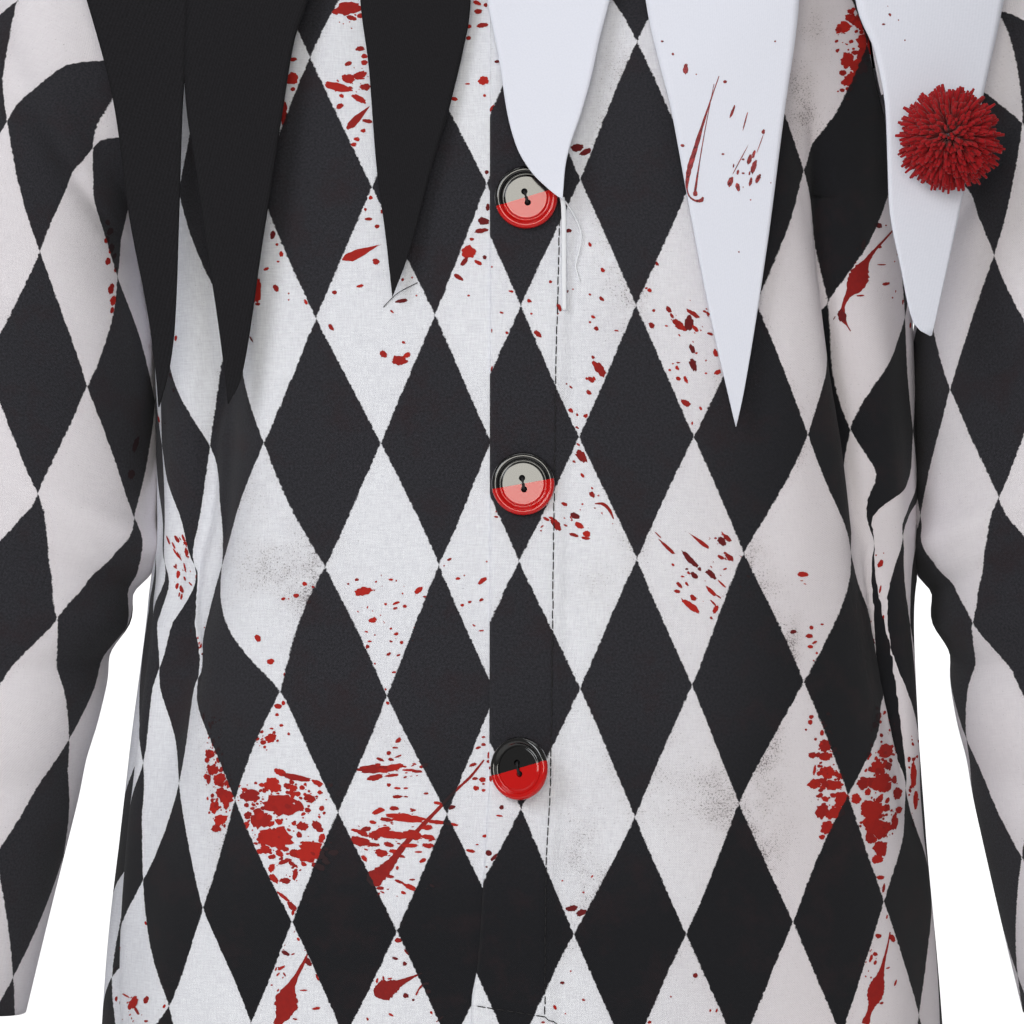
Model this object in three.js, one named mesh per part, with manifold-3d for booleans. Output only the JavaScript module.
// Jester tunic in its worn shape: two fronts that lap at a half placket, a back, two
// set-in sleeves, a collar of long points in two colours, three buttons and a pompom.
// Millimetres, +Z up, the front towards -Y. The origin is the middle of the neck ring,
// level with the neck ends of the shoulder seams.
import * as THREE from 'three';
import { mergeVertices } from 'three/addons/utils/BufferGeometryUtils.js';
import Module from 'manifold-3d';

const DEG = Math.PI / 180;

// Cloth and seams
const BODY_CLOTH = 1.6;
const COLLAR_CLOTH = 1.7;
const SEAM_GAP = 0.4;
const LAP_LIFT = 2.2;
const LAP_RAMP = 8;

// Heights that the body is cut to. A level is the height of the side of the body.
const HEM_LEVEL = -790;
const ARMPIT_LEVEL = -245;
const SHOULDER_LEVEL = -60;
const NECK_LEVEL = 0;
const ARMHOLE_SPREAD = 24;
const ARMHOLE_INSET = 0.007;
const SIDE_ANGLE = 90;
const BACK_ANGLE = 180;

// Body form, a row for each level: half width, front and back depth, sideways shift, and
// the heights of the same line at centre front and centre back. Power 2 is an ellipse, and
// more is squarer.
const BODY_FORM = [
  { sideZ: -790, halfWidth: 217, front: 145, back: 149, shift: 0, frontZ: -790, backZ: -790, power: 2.4 },
  { sideZ: -700, halfWidth: 213, front: 141, back: 145, shift: 0, frontZ: -700, backZ: -700, power: 2.4 },
  { sideZ: -616, halfWidth: 208, front: 137, back: 141, shift: 0, frontZ: -616, backZ: -616, power: 2.5 },
  { sideZ: -520, halfWidth: 198, front: 129, back: 133, shift: 1, frontZ: -520, backZ: -520, power: 2.5 },
  { sideZ: -438, halfWidth: 190, front: 123, back: 125, shift: 4, frontZ: -438, backZ: -438, power: 2.5 },
  { sideZ: -399, halfWidth: 188, front: 121, back: 122, shift: 6, frontZ: -399, backZ: -399, power: 2.5 },
  { sideZ: -340, halfWidth: 188, front: 120, back: 121, shift: 5, frontZ: -340, backZ: -340, power: 2.5 },
  { sideZ: -245, halfWidth: 187, front: 118, back: 122, shift: 3, frontZ: -245, backZ: -245, power: 2.5 },
  { sideZ: -190, halfWidth: 193, front: 113, back: 121, shift: 2, frontZ: -196, backZ: -192, power: 2.5 },
  { sideZ: -130, halfWidth: 200, front: 106, back: 116, shift: 1, frontZ: -150, backZ: -138, power: 2.5 },
  { sideZ: -85, halfWidth: 205, front: 98, back: 106, shift: 0, frontZ: -117, backZ: -95, power: 2.5 },
  { sideZ: -60, halfWidth: 203, front: 93, back: 98, shift: 0, frontZ: -103, backZ: -72, power: 2.5 },
  { sideZ: -45, halfWidth: 180, front: 88, back: 91, shift: 0, frontZ: -92, backZ: -56, power: 2.4 },
  { sideZ: -25, halfWidth: 128, front: 80, back: 80, shift: 0, frontZ: -76, backZ: -34, power: 2.2 },
  { sideZ: 0, halfWidth: 76, front: 72, back: 70, shift: 0, frontZ: -60, backZ: -12, power: 2 },
];

// Folds of the body: the angle from centre front at the fold's top, how far it drifts on
// the way down, its top and bottom level, its half width in degrees and its height, which
// is negative for a trough.
const BODY_FOLDS = [
  { angle: 53, drift: 21, top: -180, bottom: -570, width: 4.6, height: -12 },
  { angle: 45, drift: 6, top: -205, bottom: -440, width: 6, height: 5 },
  { angle: 65, drift: 9, top: -280, bottom: -530, width: 5, height: 5 },
  { angle: 86, drift: -4, top: -430, bottom: -900, width: 6, height: -9 },
  { angle: 60, drift: 4, top: -560, bottom: -960, width: 7, height: 8 },
  { angle: 42, drift: -3, top: -620, bottom: -960, width: 6, height: -7 },
  { angle: 24, drift: 2, top: -640, bottom: -980, width: 7, height: 6 },
  { angle: -59, drift: -9, top: -225, bottom: -540, width: 4.4, height: -11 },
  { angle: -50, drift: -3, top: -250, bottom: -460, width: 5, height: 4 },
  { angle: -70, drift: -3, top: -310, bottom: -650, width: 4.4, height: 6 },
  { angle: -80, drift: 4, top: -440, bottom: -800, width: 5, height: -9 },
  { angle: -62, drift: 5, top: -570, bottom: -960, width: 6.5, height: 8 },
  { angle: -45, drift: 3, top: -600, bottom: -960, width: 6, height: -7 },
  { angle: -27, drift: -2, top: -650, bottom: -980, width: 7, height: 6 },
  { angle: 112, drift: 10, top: -255, bottom: -640, width: 8, height: -11 },
  { angle: 130, drift: 5, top: -300, bottom: -620, width: 8, height: 7 },
  { angle: 148, drift: -5, top: -400, bottom: -920, width: 9, height: -10 },
  { angle: 124, drift: -4, top: -560, bottom: -980, width: 9, height: 9 },
  { angle: 171, drift: 3, top: -500, bottom: -960, width: 9, height: 8 },
  { angle: -115, drift: -9, top: -245, bottom: -620, width: 8, height: -11 },
  { angle: -135, drift: -3, top: -330, bottom: -660, width: 8, height: 7 },
  { angle: -156, drift: 7, top: -450, bottom: -940, width: 9, height: -10 },
  { angle: -122, drift: 6, top: -540, bottom: -980, width: 9, height: 9 },
];

// Placket: the free edge of the lap and its stitch line, as distances across the front
const LAP_LINE = [
  { level: -790, edge: -26, stitch: 9 },
  { level: -640, edge: -26, stitch: 9 },
  { level: -606, edge: -22, stitch: 9.8 },
  { level: -512, edge: -16.8, stitch: 10.6 },
  { level: -390, edge: -16.5, stitch: 11.8 },
  { level: -155, edge: -16.5, stitch: 15 },
  { level: -60, edge: -16.5, stitch: 15 },
  { level: 0, edge: -11, stitch: 15 },
];
const UNDERLAP = 18;

// Sleeve form, a row for each ring from the armhole to the cuff: how far down the sleeve,
// the ring's inner and outer points, its half depth and its shift to the front.
const SLEEVE_FORM = [
  { along: 0, innerX: 189, innerZ: -246, outerX: 214, outerZ: -60, halfDepth: 73, shiftY: -1 },
  { along: 30, innerX: 193, innerZ: -249, outerX: 240, outerZ: -70, halfDepth: 73, shiftY: -1 },
  { along: 65, innerX: 195, innerZ: -254, outerX: 266, outerZ: -96, halfDepth: 71, shiftY: -1 },
  { along: 110, innerX: 196, innerZ: -266, outerX: 285, outerZ: -138, halfDepth: 67, shiftY: -1 },
  { along: 160, innerX: 196, innerZ: -286, outerX: 296, outerZ: -188, halfDepth: 64, shiftY: -2 },
  { along: 215, innerX: 195, innerZ: -316, outerX: 303, outerZ: -242, halfDepth: 62, shiftY: -3 },
  { along: 275, innerX: 193, innerZ: -352, outerX: 306, outerZ: -300, halfDepth: 60, shiftY: -5 },
  { along: 330, innerX: 192, innerZ: -392, outerX: 308, outerZ: -356, halfDepth: 58, shiftY: -7 },
  { along: 370, innerX: 194, innerZ: -426, outerX: 310, outerZ: -400, halfDepth: 57, shiftY: -10 },
  { along: 400, innerX: 203, innerZ: -450, outerX: 314, outerZ: -430, halfDepth: 56, shiftY: -13 },
  { along: 460, innerX: 214, innerZ: -502, outerX: 323, outerZ: -484, halfDepth: 54, shiftY: -21 },
  { along: 540, innerX: 231, innerZ: -578, outerX: 335, outerZ: -562, halfDepth: 51, shiftY: -32 },
  { along: 605, innerX: 245, innerZ: -640, outerX: 345, outerZ: -626, halfDepth: 49, shiftY: -42 },
];
const SLEEVE_JOIN = 55;

// Folds of a sleeve: where along it and where round it (0 outer, 90 front, 180 inner), the
// half length along and half spread round, the slant along per turn, and the height.
const SLEEVE_FOLDS = [
  { along: 352, round: 150, width: 9, spread: 75, slant: 60, height: 4.5 },
  { along: 378, round: 170, width: 8, spread: 80, slant: 40, height: -5 },
  { along: 402, round: 165, width: 9, spread: 70, slant: -30, height: 4 },
  { along: 428, round: 150, width: 9, spread: 70, slant: -60, height: -4 },
  { along: 250, round: 60, width: 14, spread: 60, slant: 150, height: -4 },
  { along: 300, round: 40, width: 13, spread: 60, slant: 150, height: 3 },
  { along: 500, round: 95, width: 13, spread: 80, slant: -90, height: -3.5 },
  { along: 110, round: 100, width: 16, spread: 50, slant: 120, height: -4 },
  { along: 390, round: 290, width: 10, spread: 70, slant: 50, height: -4 },
  { along: 200, round: 270, width: 14, spread: 60, slant: -150, height: -4 },
];

// Collar form, a row for each distance from the neck seam
const COLLAR_FORM = [
  { reach: 0, halfWidth: 80, front: 75, back: 73, frontZ: -59, sideZ: 3, backZ: -10, power: 2 },
  { reach: 65, halfWidth: 136, front: 103, back: 104, frontZ: -116, sideZ: -19, backZ: -68, power: 2.35 },
  { reach: 100, halfWidth: 172, front: 112, back: 114, frontZ: -152, sideZ: -34, backZ: -102, power: 2.5 },
  { reach: 145, halfWidth: 216, front: 118, back: 122, frontZ: -197, sideZ: -51, backZ: -146, power: 2.4 },
  { reach: 195, halfWidth: 259, front: 123, back: 127, frontZ: -246, sideZ: -72, backZ: -196, power: 2.3 },
  { reach: 240, halfWidth: 291, front: 124, back: 127, frontZ: -291, sideZ: -113, backZ: -241, power: 2.3 },
  { reach: 290, halfWidth: 307, front: 125, back: 127, frontZ: -341, sideZ: -162, backZ: -291, power: 2.25 },
  { reach: 350, halfWidth: 316, front: 126, back: 128, frontZ: -400, sideZ: -222, backZ: -351, power: 2.2 },
  { reach: 420, halfWidth: 320, front: 127, back: 129, frontZ: -470, sideZ: -292, backZ: -421, power: 2.1 },
  { reach: 500, halfWidth: 326, front: 128, back: 131, frontZ: -550, sideZ: -372, backZ: -501, power: 2 },
];
const NOTCH_REACH = 62;
const NECK_LIFT = 2.6;
const NECK_EDGE = 2;
const NECK_BLEND = 45;
const NECK_SLOPE = 0.3;
const COLLAR_LIFT = 4.6;
const LYING_START = 90;
const LYING_END = 150;
const LYING_SOFTNESS = 4;
const COLLAR_SPLIT = -13;
const LAP_END_ANGLE = 18;
const COLLAR_GAP = 0.9;

// Points of the collar from centre front to centre back. A point runs between two notches,
// and its near and far edges pass through the middle spots on the way to the tip. Spots on
// the front are across and height, and those out of the front view are angle and reach.
const BLACK_POINTS = [
  { notch: -46, near: [-34, -200], far: [-73, -200], tip: [-62, -295], curl: 3 },
  { notch: -78, near: [-115, -204], far: [-163, -204], tip: [-140, -345], curl: 1 },
  { notch: -100, near: [-168, -215], far: [-204, -205], tip: [-179, -344], curl: 1 },
  { notch: -126, nearTurn: [-87, 190], farTurn: [-106, 188], tipTurn: [-96, 318], curl: 2 },
  { notch: -153, nearTurn: [-117, 185], farTurn: [-139, 180], tipTurn: [-131, 322], curl: 2 },
  { notch: -180, nearTurn: [-148, 180], farTurn: [-171, 180], tipTurn: [-161, 300], curl: 2 },
];
const WHITE_POINTS = [
  { notch: 27.5, near: [-11, -190], far: [32, -190], tip: [17.6, -250], curl: 9 },
  { notch: 60, near: [69, -205], far: [124, -205], tip: [99, -356], curl: 1 },
  { notch: 85, near: [173, -205], far: [222, -180], tip: [192, -308], curl: 2 },
  { notch: 112, nearTurn: [79, 190], farTurn: [99, 188], tipTurn: [89, 312], curl: 2 },
  { notch: 146, nearTurn: [111, 185], farTurn: [134, 180], tipTurn: [124, 325], curl: 2 },
  { notch: 180, nearTurn: [142, 180], farTurn: [168, 180], tipTurn: [157, 304], curl: 2 },
];

// Buttons: the place of each centre across the front and its height, and its tilt
const BUTTON_SPOTS = [
  { across: 0.5, height: -248, tilt: 0 },
  { across: -0.9, height: -382.5, tilt: 0 },
  { across: -1.9, height: -516, tilt: 7 },
];
const BUTTON_RADIUS = 14.8;
const BUTTON_THICKNESS = 4;
const BUTTON_PROFILE = [
  { inside: 2, height: 0 },
  { inside: 0, height: 1.4 },
  { inside: 0.6, height: 3.5 },
  { inside: 1.9, height: BUTTON_THICKNESS },
  { inside: 3.2, height: 3.1 },
  { inside: 4.6, height: 2.7 },
  { inside: BUTTON_RADIUS, height: 2.4 },
];
const BUTTON_SEAT = 0.5;
const BUTTON_HOLE_RADIUS = 1.4;
const BUTTON_HOLE_OFFSET = 2.6;
const BUTTON_SIDES = 24;

// Pompom: its place on the white collar, and its yarn locks
const POMPOM_SPOT = [201, -220];
const POMPOM_CORE = 15;
const POMPOM_RADIUS = 24;
const POMPOM_SEAT = 1.5;
const LOCK_COUNT = 64;
const LOCK_WIDTH = 4.6;
const LOCK_TAPER = 0.56;
const LOCK_LOWEST = -0.45;
const LOCK_UNEVEN = 0.07;

// Grid sizes
const BODY_ROWS = 14;
const ARMHOLE_ROWS = 8;
const SHOULDER_ROWS = 3;
const MIDDLE_COLUMNS = 4;
const FLANK_COLUMNS = 12;
const FLANK_SHARE = 0.3;
const BACK_COLUMNS = 26;
const SLEEVE_ROWS = 19;
const YOKE_ROWS = 3;
const POINT_COLUMNS = 4;
const POINT_ROWS = 7;

const clamp = (value, low, high) => Math.min(Math.max(value, low), high);
const mix = (a, b, t) => a + (b - a) * t;
const smooth = (t) => t * t * (3 - 2 * t);
const ramp = (value, from, to) => smooth(clamp((value - from) / (to - from), 0, 1));

// Reads every column of a table at a value of its key column, on a smooth curve that
// doesn't overshoot its rows.
function readTable(rows, key, value) {
  const last = rows.length - 1;
  const at = clamp(value, rows[0][key], rows[last][key]);
  let i = 0;
  while (i < last - 1 && at > rows[i + 1][key]) i += 1;
  const span = rows[i + 1][key] - rows[i][key];
  const t = (at - rows[i][key]) / span;
  const read = {};
  for (const name of Object.keys(rows[0])) {
    const rise = (j) => (rows[j + 1][name] - rows[j][name]) / (rows[j + 1][key] - rows[j][key]);
    const slope = (j) => {
      if (j === 0) return rise(0);
      if (j === last) return rise(last - 1);
      const product = rise(j - 1) * rise(j);
      return product > 0 ? 2 * product / (rise(j - 1) + rise(j)) : 0;
    };
    const start = rows[i][name];
    const end = rows[i + 1][name];
    read[name] = mix(start, end, smooth(t))
      + span * t * (1 - t) * ((1 - t) * slope(i) - t * slope(i + 1));
  }
  return read;
}

// Halves a range until the value at which a rising function passes its target is found
function solve(rising, target, from, to) {
  let low = from;
  let high = to;
  for (let i = 0; i < 24; i += 1) {
    const middle = (low + high) / 2;
    if (rising(middle) < target) low = middle;
    else high = middle;
  }
  return (low + high) / 2;
}

// Distance from the axis to a rounded ring in the direction of an angle
function ringRadius(form, angle) {
  const across = Math.abs(Math.sin(angle * DEG)) / form.halfWidth;
  const depth = Math.cos(angle * DEG) > 0 ? form.front : form.back;
  const along = Math.abs(Math.cos(angle * DEG)) / depth;
  return (across ** form.power + along ** form.power) ** (-1 / form.power);
}

// Height of a ring at an angle, between its side and its centre front or back
function ringHeight(form, angle) {
  const turn = Math.cos(angle * DEG);
  return mix(form.sideZ, turn > 0 ? form.frontZ : form.backZ, turn * turn);
}

function foldHeight(angle, level) {
  let height = 0;
  for (const fold of BODY_FOLDS) {
    const way = (fold.top - level) / (fold.top - fold.bottom);
    if (way <= 0 || way >= 1) continue;
    const offset = (angle - fold.angle - fold.drift * way) / fold.width;
    height += fold.height * Math.exp(-offset * offset) * Math.sin(Math.PI * way) ** 0.7;
  }
  return height;
}

function bodyPoint(angle, level) {
  const form = readTable(BODY_FORM, 'sideZ', level);
  const radius = ringRadius(form, angle) + foldHeight(angle, level);
  return new THREE.Vector3(
    form.shift + radius * Math.sin(angle * DEG),
    -radius * Math.cos(angle * DEG),
    ringHeight(form, angle),
  );
}

// Outward normal of a surface of two parameters, the first growing to +X at the front and
// the second upwards
function surfaceNormal(surface, a, b, stepA, stepB) {
  const across = surface(a + stepA, b).sub(surface(a - stepA, b));
  const up = surface(a, b + stepB).sub(surface(a, b - stepB));
  return across.cross(up).normalize();
}

function bodySpot(angle, level, lift) {
  const inside = clamp(level, HEM_LEVEL + 1, NECK_LEVEL - 1);
  const normal = surfaceNormal(bodyPoint, angle, inside, 0.4, 1);
  return { point: bodyPoint(angle, level).addScaledVector(normal, lift), normal };
}

// Angle at which a level's line on the front passes a place across it
function angleAcross(across, level) {
  const form = readTable(BODY_FORM, 'sideZ', level);
  let angle = 0;
  for (let i = 0; i < 12; i += 1) {
    angle = Math.asin(clamp((across - form.shift) / ringRadius(form, angle), -1, 1)) / DEG;
  }
  return angle;
}

// Closes a sheet of outer points into a wall. Faces turn anticlockwise seen from outside.
function wallGeometry(sheet, thickness) {
  const count = sheet.spots.length;
  const positions = [];
  for (const { point } of sheet.spots) positions.push(point.x, point.y, point.z);
  for (const { point, normal } of sheet.spots) {
    const inner = point.clone().addScaledVector(normal, -thickness);
    positions.push(inner.x, inner.y, inner.z);
  }
  const index = [];
  const edges = new Map();
  for (const face of sheet.faces) {
    for (let k = 1; k < face.length - 1; k += 1) {
      index.push(face[0], face[k], face[k + 1]);
      index.push(face[0] + count, face[k + 1] + count, face[k] + count);
    }
    face.forEach((from, k) => edges.set(`${from},${face[(k + 1) % face.length]}`, true));
  }
  for (const edge of edges.keys()) {
    const [from, to] = edge.split(',').map(Number);
    if (edges.has(`${to},${from}`)) continue;
    index.push(to, from, from + count);
    index.push(to, from + count, to + count);
  }
  const geometry = new THREE.BufferGeometry();
  geometry.setAttribute('position', new THREE.Float32BufferAttribute(positions, 3));
  geometry.setIndex(index);
  return geometry;
}

// Sheet from rows of spots, each row from low to high angle; a wrapped row is a ring
function gridSheet(rows, wrapped = false) {
  const width = rows[0].length;
  const cells = wrapped ? width : width - 1;
  const faces = [];
  for (let r = 0; r < rows.length - 1; r += 1) {
    for (let c = 0; c < cells; c += 1) {
      const next = (c + 1) % width;
      faces.push([r * width + c, r * width + next, (r + 1) * width + next, (r + 1) * width + c]);
    }
  }
  return { spots: rows.flat(), faces };
}

// Armhole: an ellipse over the side of the body, in angle and level
const ARMHOLE_MIDDLE = (ARMPIT_LEVEL + SHOULDER_LEVEL) / 2;
const ARMHOLE_HALF = (SHOULDER_LEVEL - ARMPIT_LEVEL) / 2;

function armholeSpread(level) {
  const way = (level - ARMHOLE_MIDDLE) / ARMHOLE_HALF;
  return Math.abs(way) < 1 ? ARMHOLE_SPREAD * Math.sqrt(1 - way * way) : 0;
}

function bodyLevels() {
  const levels = [];
  for (let i = 0; i < BODY_ROWS; i += 1) levels.push(mix(HEM_LEVEL, ARMPIT_LEVEL, i / BODY_ROWS));
  for (let i = 0; i < ARMHOLE_ROWS; i += 1) {
    levels.push(ARMHOLE_MIDDLE - ARMHOLE_HALF * Math.cos(Math.PI * i / ARMHOLE_ROWS));
  }
  for (let i = 0; i <= SHOULDER_ROWS; i += 1) {
    levels.push(mix(SHOULDER_LEVEL, NECK_LEVEL, i / SHOULDER_ROWS));
  }
  return levels;
}

// Angle of a panel's side edge, half a seam short of the side and clear of the armhole
function sideEdge(level) {
  const form = readTable(BODY_FORM, 'sideZ', level);
  const halfSeam = SEAM_GAP / 2 / form.halfWidth / DEG;
  return SIDE_ANGLE - armholeSpread(level) - halfSeam;
}

function lapAt(level) {
  return readTable(LAP_LINE, 'level', level);
}

// Angles of a front's columns from its middle to its side, closer together on the flank,
// where the folds are
function frontAngles(start, end) {
  const flank = mix(start, end, FLANK_SHARE);
  const angles = [];
  for (let c = 0; c < MIDDLE_COLUMNS; c += 1) angles.push(mix(start, flank, c / MIDDLE_COLUMNS));
  for (let c = 0; c <= FLANK_COLUMNS; c += 1) angles.push(mix(flank, end, c / FLANK_COLUMNS));
  return angles;
}

// Fronts. The left front laps over the right one from its free edge to the stitch line.
function leftFront() {
  const rows = bodyLevels().map((level) => {
    const lap = lapAt(level);
    const middle = (lap.edge + lap.stitch) / 2;
    const stops = [
      { across: lap.edge, lift: LAP_LIFT },
      { across: middle, lift: LAP_LIFT },
      { across: lap.stitch, lift: LAP_LIFT },
      { across: lap.stitch + LAP_RAMP, lift: 0 },
    ];
    const row = stops.map(({ across, lift }) => bodySpot(angleAcross(across, level), level, lift));
    const start = angleAcross(lap.stitch + LAP_RAMP, level);
    const angles = frontAngles(start, sideEdge(level)).slice(1);
    return row.concat(angles.map((angle) => bodySpot(angle, level, 0)));
  });
  return wallGeometry(gridSheet(rows), BODY_CLOTH);
}

function rightFront() {
  const rows = bodyLevels().map((level) => {
    const lap = lapAt(level);
    const start = angleAcross(lap.edge, level);
    const angles = frontAngles(start, -sideEdge(level)).reverse();
    angles.push(angleAcross(lap.edge + UNDERLAP, level));
    return angles.map((angle) => bodySpot(angle, level, 0));
  });
  return wallGeometry(gridSheet(rows), BODY_CLOTH);
}

function backPanel() {
  const rows = bodyLevels().map((level) => {
    const start = 2 * SIDE_ANGLE - sideEdge(level);
    const end = 2 * BACK_ANGLE - start;
    const row = [];
    for (let c = 0; c <= BACK_COLUMNS; c += 1) {
      const angle = mix(start, end, c / BACK_COLUMNS);
      row.push(bodySpot(angle > BACK_ANGLE ? angle - 2 * BACK_ANGLE : angle, level, 0));
    }
    return row;
  });
  return wallGeometry(gridSheet(rows), BODY_CLOTH);
}

// Sleeve, for the +X side: round is 0 at its outer line, 90 at the front, 180 inside
function armholePoint(round) {
  const angle = SIDE_ANGLE - ARMHOLE_SPREAD * (1 - 2 * ARMHOLE_INSET) * Math.sin(round * DEG);
  const level = ARMHOLE_MIDDLE + ARMHOLE_HALF * (1 - ARMHOLE_INSET) * Math.cos(round * DEG);
  return { angle, level };
}

function sleeveFold(round, along) {
  let height = 0;
  for (const fold of SLEEVE_FOLDS) {
    let turn = (((round - fold.round) % 360) + 540) % 360 - 180;
    const offset = (along - fold.along - fold.slant * turn / 360) / fold.width;
    turn /= fold.spread;
    height += fold.height * Math.exp(-offset * offset) * Math.exp(-turn * turn);
  }
  return height;
}

function sleevePoint(side, round, along) {
  const form = readTable(SLEEVE_FORM, 'along', along);
  const fold = sleeveFold(round, along) * ramp(along, 20, 90);
  const half = { x: (form.outerX - form.innerX) / 2, z: (form.outerZ - form.innerZ) / 2 };
  const swell = 1 + fold / form.halfDepth;
  const up = Math.cos(round * DEG) * swell;
  const ring = new THREE.Vector3(
    (form.outerX + form.innerX) / 2 + half.x * up,
    form.shiftY - form.halfDepth * swell * Math.sin(round * DEG),
    (form.outerZ + form.innerZ) / 2 + half.z * up,
  );
  const hole = armholePoint(round);
  const rim = bodyPoint(side * hole.angle, hole.level);
  const joined = ramp(along, 0, SLEEVE_JOIN);
  const shift = readTable(BODY_FORM, 'sideZ', ring.z).shift;
  ring.x = side * ring.x + shift;
  return rim.lerp(ring, joined);
}

function sleeve(side) {
  const surface = (round, along) => sleevePoint(side, round, along);
  const rows = [];
  const columns = 2 * ARMHOLE_ROWS;
  const length = SLEEVE_FORM[SLEEVE_FORM.length - 1].along;
  for (let r = 0; r <= SLEEVE_ROWS; r += 1) {
    const along = length * (r / SLEEVE_ROWS);
    const row = [];
    for (let c = 0; c < columns; c += 1) {
      const round = 360 * c / columns;
      const inside = clamp(along, 1, length - 1);
      const normal = surfaceNormal(surface, round, inside, 1, 1).multiplyScalar(side);
      row.push({ point: surface(round, along), normal });
    }
    rows.push(side > 0 ? row : row.reverse());
  }
  return wallGeometry(gridSheet(rows, true), BODY_CLOTH);
}

// Body radius at a height, for the parts of the collar that lie on it
function bodyRadiusAtHeight(angle, height) {
  const heightAt = (level) => ringHeight(readTable(BODY_FORM, 'sideZ', level), angle);
  const point = bodyPoint(angle, solve(heightAt, height, HEM_LEVEL, NECK_LEVEL));
  return Math.hypot(point.x, point.y);
}

// How far the lap lifts the neckline at an angle
function lapShare(angle) {
  const lapped = ramp(angle, COLLAR_SPLIT - COLLAR_GAP, COLLAR_SPLIT + COLLAR_GAP / 4);
  return lapped * ramp(angle, 1.5 * LAP_END_ANGLE, LAP_END_ANGLE);
}

// Outer surface of the collar: it starts on the neckline, and further out it follows its
// own form or the body moved out, whichever stands further from the axis.
function collarPoint(angle, reach) {
  const form = readTable(COLLAR_FORM, 'reach', reach);
  const height = ringHeight(form, angle);
  const free = ringRadius(form, angle);
  const onBody = bodyRadiusAtHeight(angle, height) + COLLAR_LIFT;
  const apart = free - onBody;
  const outer = (free + onBody + Math.hypot(apart, LYING_SOFTNESS)) / 2;
  const lying = mix(free, outer, ramp(reach, LYING_START, LYING_END));
  const radius = lying + LAP_LIFT * lapShare(angle);
  const draped = new THREE.Vector3(
    radius * Math.sin(angle * DEG),
    -radius * Math.cos(angle * DEG),
    height,
  );
  const seat = NECK_LIFT + LAP_LIFT * lapShare(angle);
  const seated = bodySpot(angle, NECK_LEVEL - NECK_EDGE - reach * NECK_SLOPE, seat).point;
  return seated.lerp(draped, ramp(reach, 0, NECK_BLEND));
}

function collarSpot(angle, reach, lift) {
  const surface = (turn, up) => collarPoint(turn, -up);
  const normal = surfaceNormal(surface, angle, -Math.max(reach, NECK_EDGE), 0.5, 1);
  return { point: collarPoint(angle, reach).addScaledVector(normal, lift), normal };
}

// Angle and reach at which the collar passes a place across the front and a height
function collarPlace([across, height]) {
  const side = Math.sign(across);
  const reachAt = (angle) => solve(
    (reach) => -ringHeight(readTable(COLLAR_FORM, 'reach', reach), angle),
    -height,
    NOTCH_REACH / 2,
    COLLAR_FORM[COLLAR_FORM.length - 1].reach,
  );
  const acrossAt = (angle) => side * collarPoint(side * angle, reachAt(angle)).x;
  const angle = solve(acrossAt, side * across, 0, SIDE_ANGLE);
  return { angle: side * angle, reach: reachAt(angle) };
}

// One edge of a point: a curve from its notch through its middle spot to its tip
function pointEdge(notch, middle, tip, way) {
  const at = clamp((middle.reach - NOTCH_REACH) / (tip.reach - NOTCH_REACH), 0.25, 0.75);
  const start = { angle: notch, reach: NOTCH_REACH };
  const weights = [
    (way - at) * (way - 1) / at,
    way * (way - 1) / (at * (at - 1)),
    way * (way - at) / (1 - at),
  ];
  const blend = (key) => weights[0] * start[key] + weights[1] * middle[key] + weights[2] * tip[key];
  return { angle: blend('angle'), reach: blend('reach') };
}

function collarHalf(points, side) {
  const spots = [];
  const faces = [];
  const turn = (face) => (side > 0 ? face : face.slice().reverse());
  const addSpot = (angle, reach, lift) => spots.push(collarSpot(angle, reach, lift)) - 1;
  const notches = [COLLAR_SPLIT + side * COLLAR_GAP / 2, ...points.map((entry) => entry.notch)];
  notches[points.length] -= side * COLLAR_GAP / 2;

  const columns = points.length * POINT_COLUMNS;
  const yoke = [];
  for (let r = 0; r <= YOKE_ROWS; r += 1) {
    const reach = NOTCH_REACH * (1 - r / YOKE_ROWS);
    yoke.push([]);
    for (let c = 0; c <= columns; c += 1) {
      const point = Math.min(Math.floor(c / POINT_COLUMNS), points.length - 1);
      const way = c / POINT_COLUMNS - point;
      yoke[r].push(addSpot(mix(notches[point], notches[point + 1], way), reach, 0));
    }
  }
  for (let r = 0; r < YOKE_ROWS; r += 1) {
    for (let c = 0; c < columns; c += 1) {
      faces.push(turn([yoke[r][c], yoke[r][c + 1], yoke[r + 1][c + 1], yoke[r + 1][c]]));
    }
  }

  points.forEach((entry, p) => {
    const spot = (front, behind) => (front ? collarPlace(front) : { angle: behind[0], reach: behind[1] });
    const near = spot(entry.near, entry.nearTurn);
    const far = spot(entry.far, entry.farTurn);
    const tip = spot(entry.tip, entry.tipTurn);
    let above = yoke[0].slice(p * POINT_COLUMNS, (p + 1) * POINT_COLUMNS + 1);
    for (let r = 1; r < POINT_ROWS; r += 1) {
      const way = r / POINT_ROWS;
      const from = pointEdge(notches[p], near, tip, way);
      const to = pointEdge(notches[p + 1], far, tip, way);
      const row = [];
      for (let c = 0; c <= POINT_COLUMNS; c += 1) {
        const across = c / POINT_COLUMNS;
        const angle = mix(from.angle, to.angle, across);
        row.push(addSpot(angle, mix(from.reach, to.reach, across), entry.curl * way * way));
      }
      for (let c = 0; c < POINT_COLUMNS; c += 1) {
        faces.push(turn([row[c], row[c + 1], above[c + 1], above[c]]));
      }
      above = row;
    }
    const end = addSpot(tip.angle, tip.reach, entry.curl);
    for (let c = 0; c < POINT_COLUMNS; c += 1) faces.push(turn([end, above[c + 1], above[c]]));
  });
  return wallGeometry({ spots, faces }, COLLAR_CLOTH);
}

// Solids for cuts and joins
const wasm = await Module();
wasm.setup();

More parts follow.
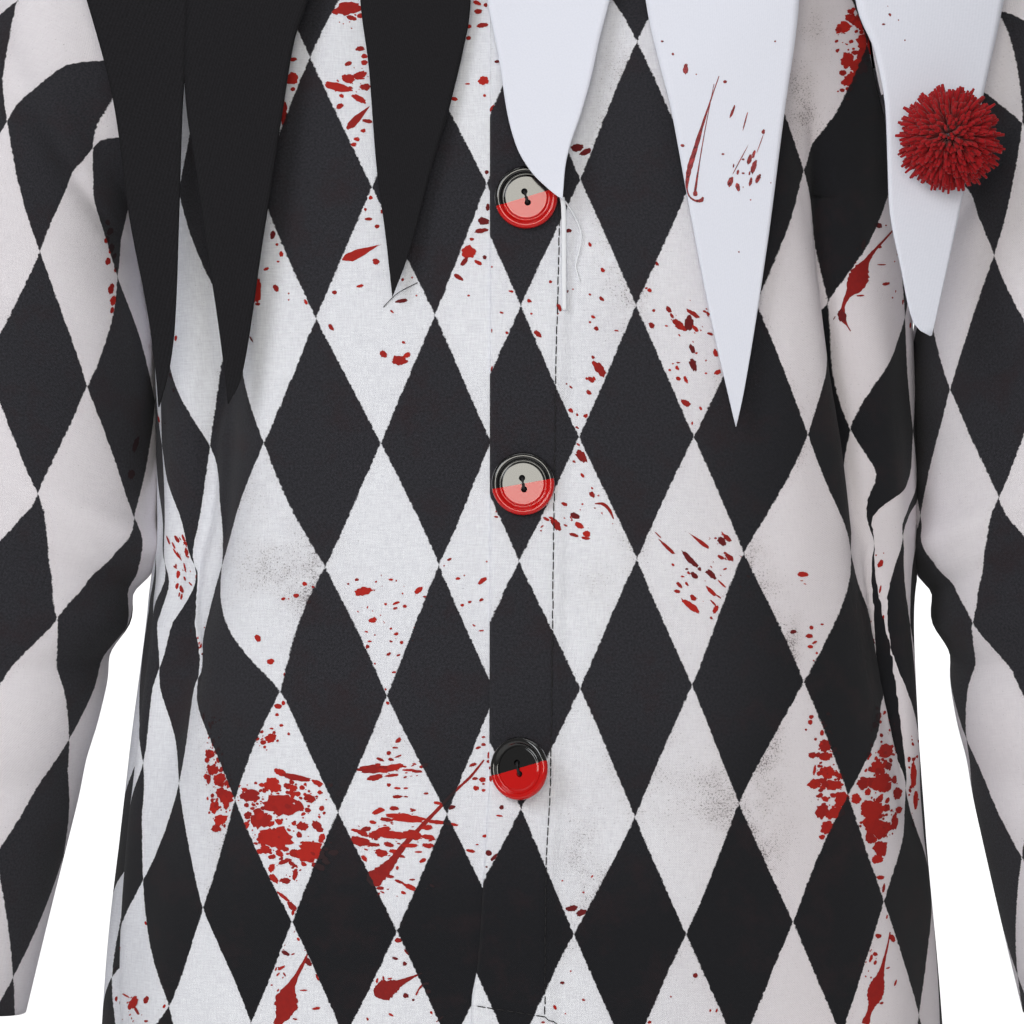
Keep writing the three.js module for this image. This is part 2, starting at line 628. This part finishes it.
function toSolid(geometry) {
  const bare = geometry.clone();
  bare.deleteAttribute('normal');
  bare.deleteAttribute('uv');
  const merged = mergeVertices(bare, 1e-4);
  return new wasm.Manifold(new wasm.Mesh({
    numProp: 3,
    vertProperties: new Float32Array(merged.attributes.position.array),
    triVerts: new Uint32Array(merged.index.array),
  }));
}

function fromSolid(solid) {
  const mesh = solid.getMesh();
  const geometry = new THREE.BufferGeometry();
  geometry.setAttribute('position', new THREE.BufferAttribute(new Float32Array(mesh.vertProperties), 3));
  geometry.setIndex(new THREE.BufferAttribute(new Uint32Array(mesh.triVerts), 1));
  return geometry;
}

// Button about the Z axis, its back at Z = 0: a rim, a groove and a dished middle
function buttonGeometry() {
  const profile = [new THREE.Vector2(0, 0)];
  for (const { inside, height } of BUTTON_PROFILE) {
    profile.push(new THREE.Vector2(BUTTON_RADIUS - inside, height));
  }
  const lathe = new THREE.LatheGeometry(profile, BUTTON_SIDES).rotateX(Math.PI / 2);
  let solid = toSolid(lathe);
  for (const end of [-1, 1]) {
    const depth = 3 * BUTTON_THICKNESS;
    const hole = new THREE.CylinderGeometry(BUTTON_HOLE_RADIUS, BUTTON_HOLE_RADIUS, depth, 8);
    hole.rotateX(Math.PI / 2).translate(0, end * BUTTON_HOLE_OFFSET, 0);
    solid = solid.subtract(toSolid(hole));
  }
  return fromSolid(solid);
}

// Pompom about its middle, the cloth under it towards -Z: a core, and locks fused into it
function pompomGeometry() {
  let solid = toSolid(new THREE.IcosahedronGeometry(POMPOM_CORE, 1));
  const turn = Math.PI * (3 - Math.sqrt(5));
  for (let i = 0; i < LOCK_COUNT; i += 1) {
    const height = mix(1, LOCK_LOWEST, (i + 0.5) / LOCK_COUNT);
    const around = Math.sqrt(1 - height * height);
    const way = new THREE.Vector3(around * Math.cos(turn * i), around * Math.sin(turn * i), height);
    const root = POMPOM_CORE / 2;
    const end = POMPOM_RADIUS * (1 - LOCK_UNEVEN + LOCK_UNEVEN * Math.sin(7 * i));
    const lock = new THREE.CylinderGeometry(LOCK_TAPER * LOCK_WIDTH / 2, LOCK_WIDTH / 2, end - root, 3);
    lock.translate(0, (end + root) / 2, 0);
    lock.applyQuaternion(new THREE.Quaternion().setFromUnitVectors(new THREE.Vector3(0, 1, 0), way));
    solid = solid.add(toSolid(lock));
  }
  return fromSolid(solid);
}

// Named meshes and their materials
const group = new THREE.Group();

function addPiece(name, geometry, colour, roughness) {
  const material = new THREE.MeshStandardMaterial({ color: colour, roughness, metalness: 0 });
  const mesh = new THREE.Mesh(geometry, material);
  mesh.name = name;
  group.add(mesh);
  return mesh;
}

const PRINT_COLOUR = 0xb9b8c0;
const BLACK_COLOUR = 0x1f1f22;
const WHITE_COLOUR = 0xe2e6f0;
const BUTTON_COLOUR = 0x8c1c18;
const YARN_COLOUR = 0xa01822;

addPiece('right_front', rightFront(), PRINT_COLOUR, 0.85);
addPiece('left_front', leftFront(), PRINT_COLOUR, 0.85);
addPiece('back', backPanel(), PRINT_COLOUR, 0.85);
addPiece('right_sleeve', sleeve(-1), PRINT_COLOUR, 0.85);
addPiece('left_sleeve', sleeve(1), PRINT_COLOUR, 0.85);
addPiece('collar_black', collarHalf(BLACK_POINTS, -1), BLACK_COLOUR, 0.9);
addPiece('collar_white', collarHalf(WHITE_POINTS, 1), WHITE_COLOUR, 0.85);

BUTTON_SPOTS.forEach(({ across, height, tilt }, i) => {
  const { point, normal } = bodySpot(angleAcross(across, height), height, LAP_LIFT + BUTTON_SEAT);
  const button = addPiece(`button_${i + 1}`, buttonGeometry(), BUTTON_COLOUR, 0.15);
  button.position.copy(point).addScaledVector(normal, BUTTON_RADIUS * Math.sin(tilt * DEG));
  button.lookAt(button.position.clone().add(normal));
  button.rotateY(tilt * DEG);
});

const pompomPlace = collarPlace(POMPOM_SPOT);
const pompomLift = POMPOM_CORE + POMPOM_SEAT;
const pompomSpot = collarSpot(pompomPlace.angle, pompomPlace.reach, pompomLift);
const pompom = addPiece('pompom', pompomGeometry(), YARN_COLOUR, 0.95);
pompom.position.copy(pompomSpot.point);
pompom.lookAt(pompomSpot.point.clone().add(pompomSpot.normal));

export default group;
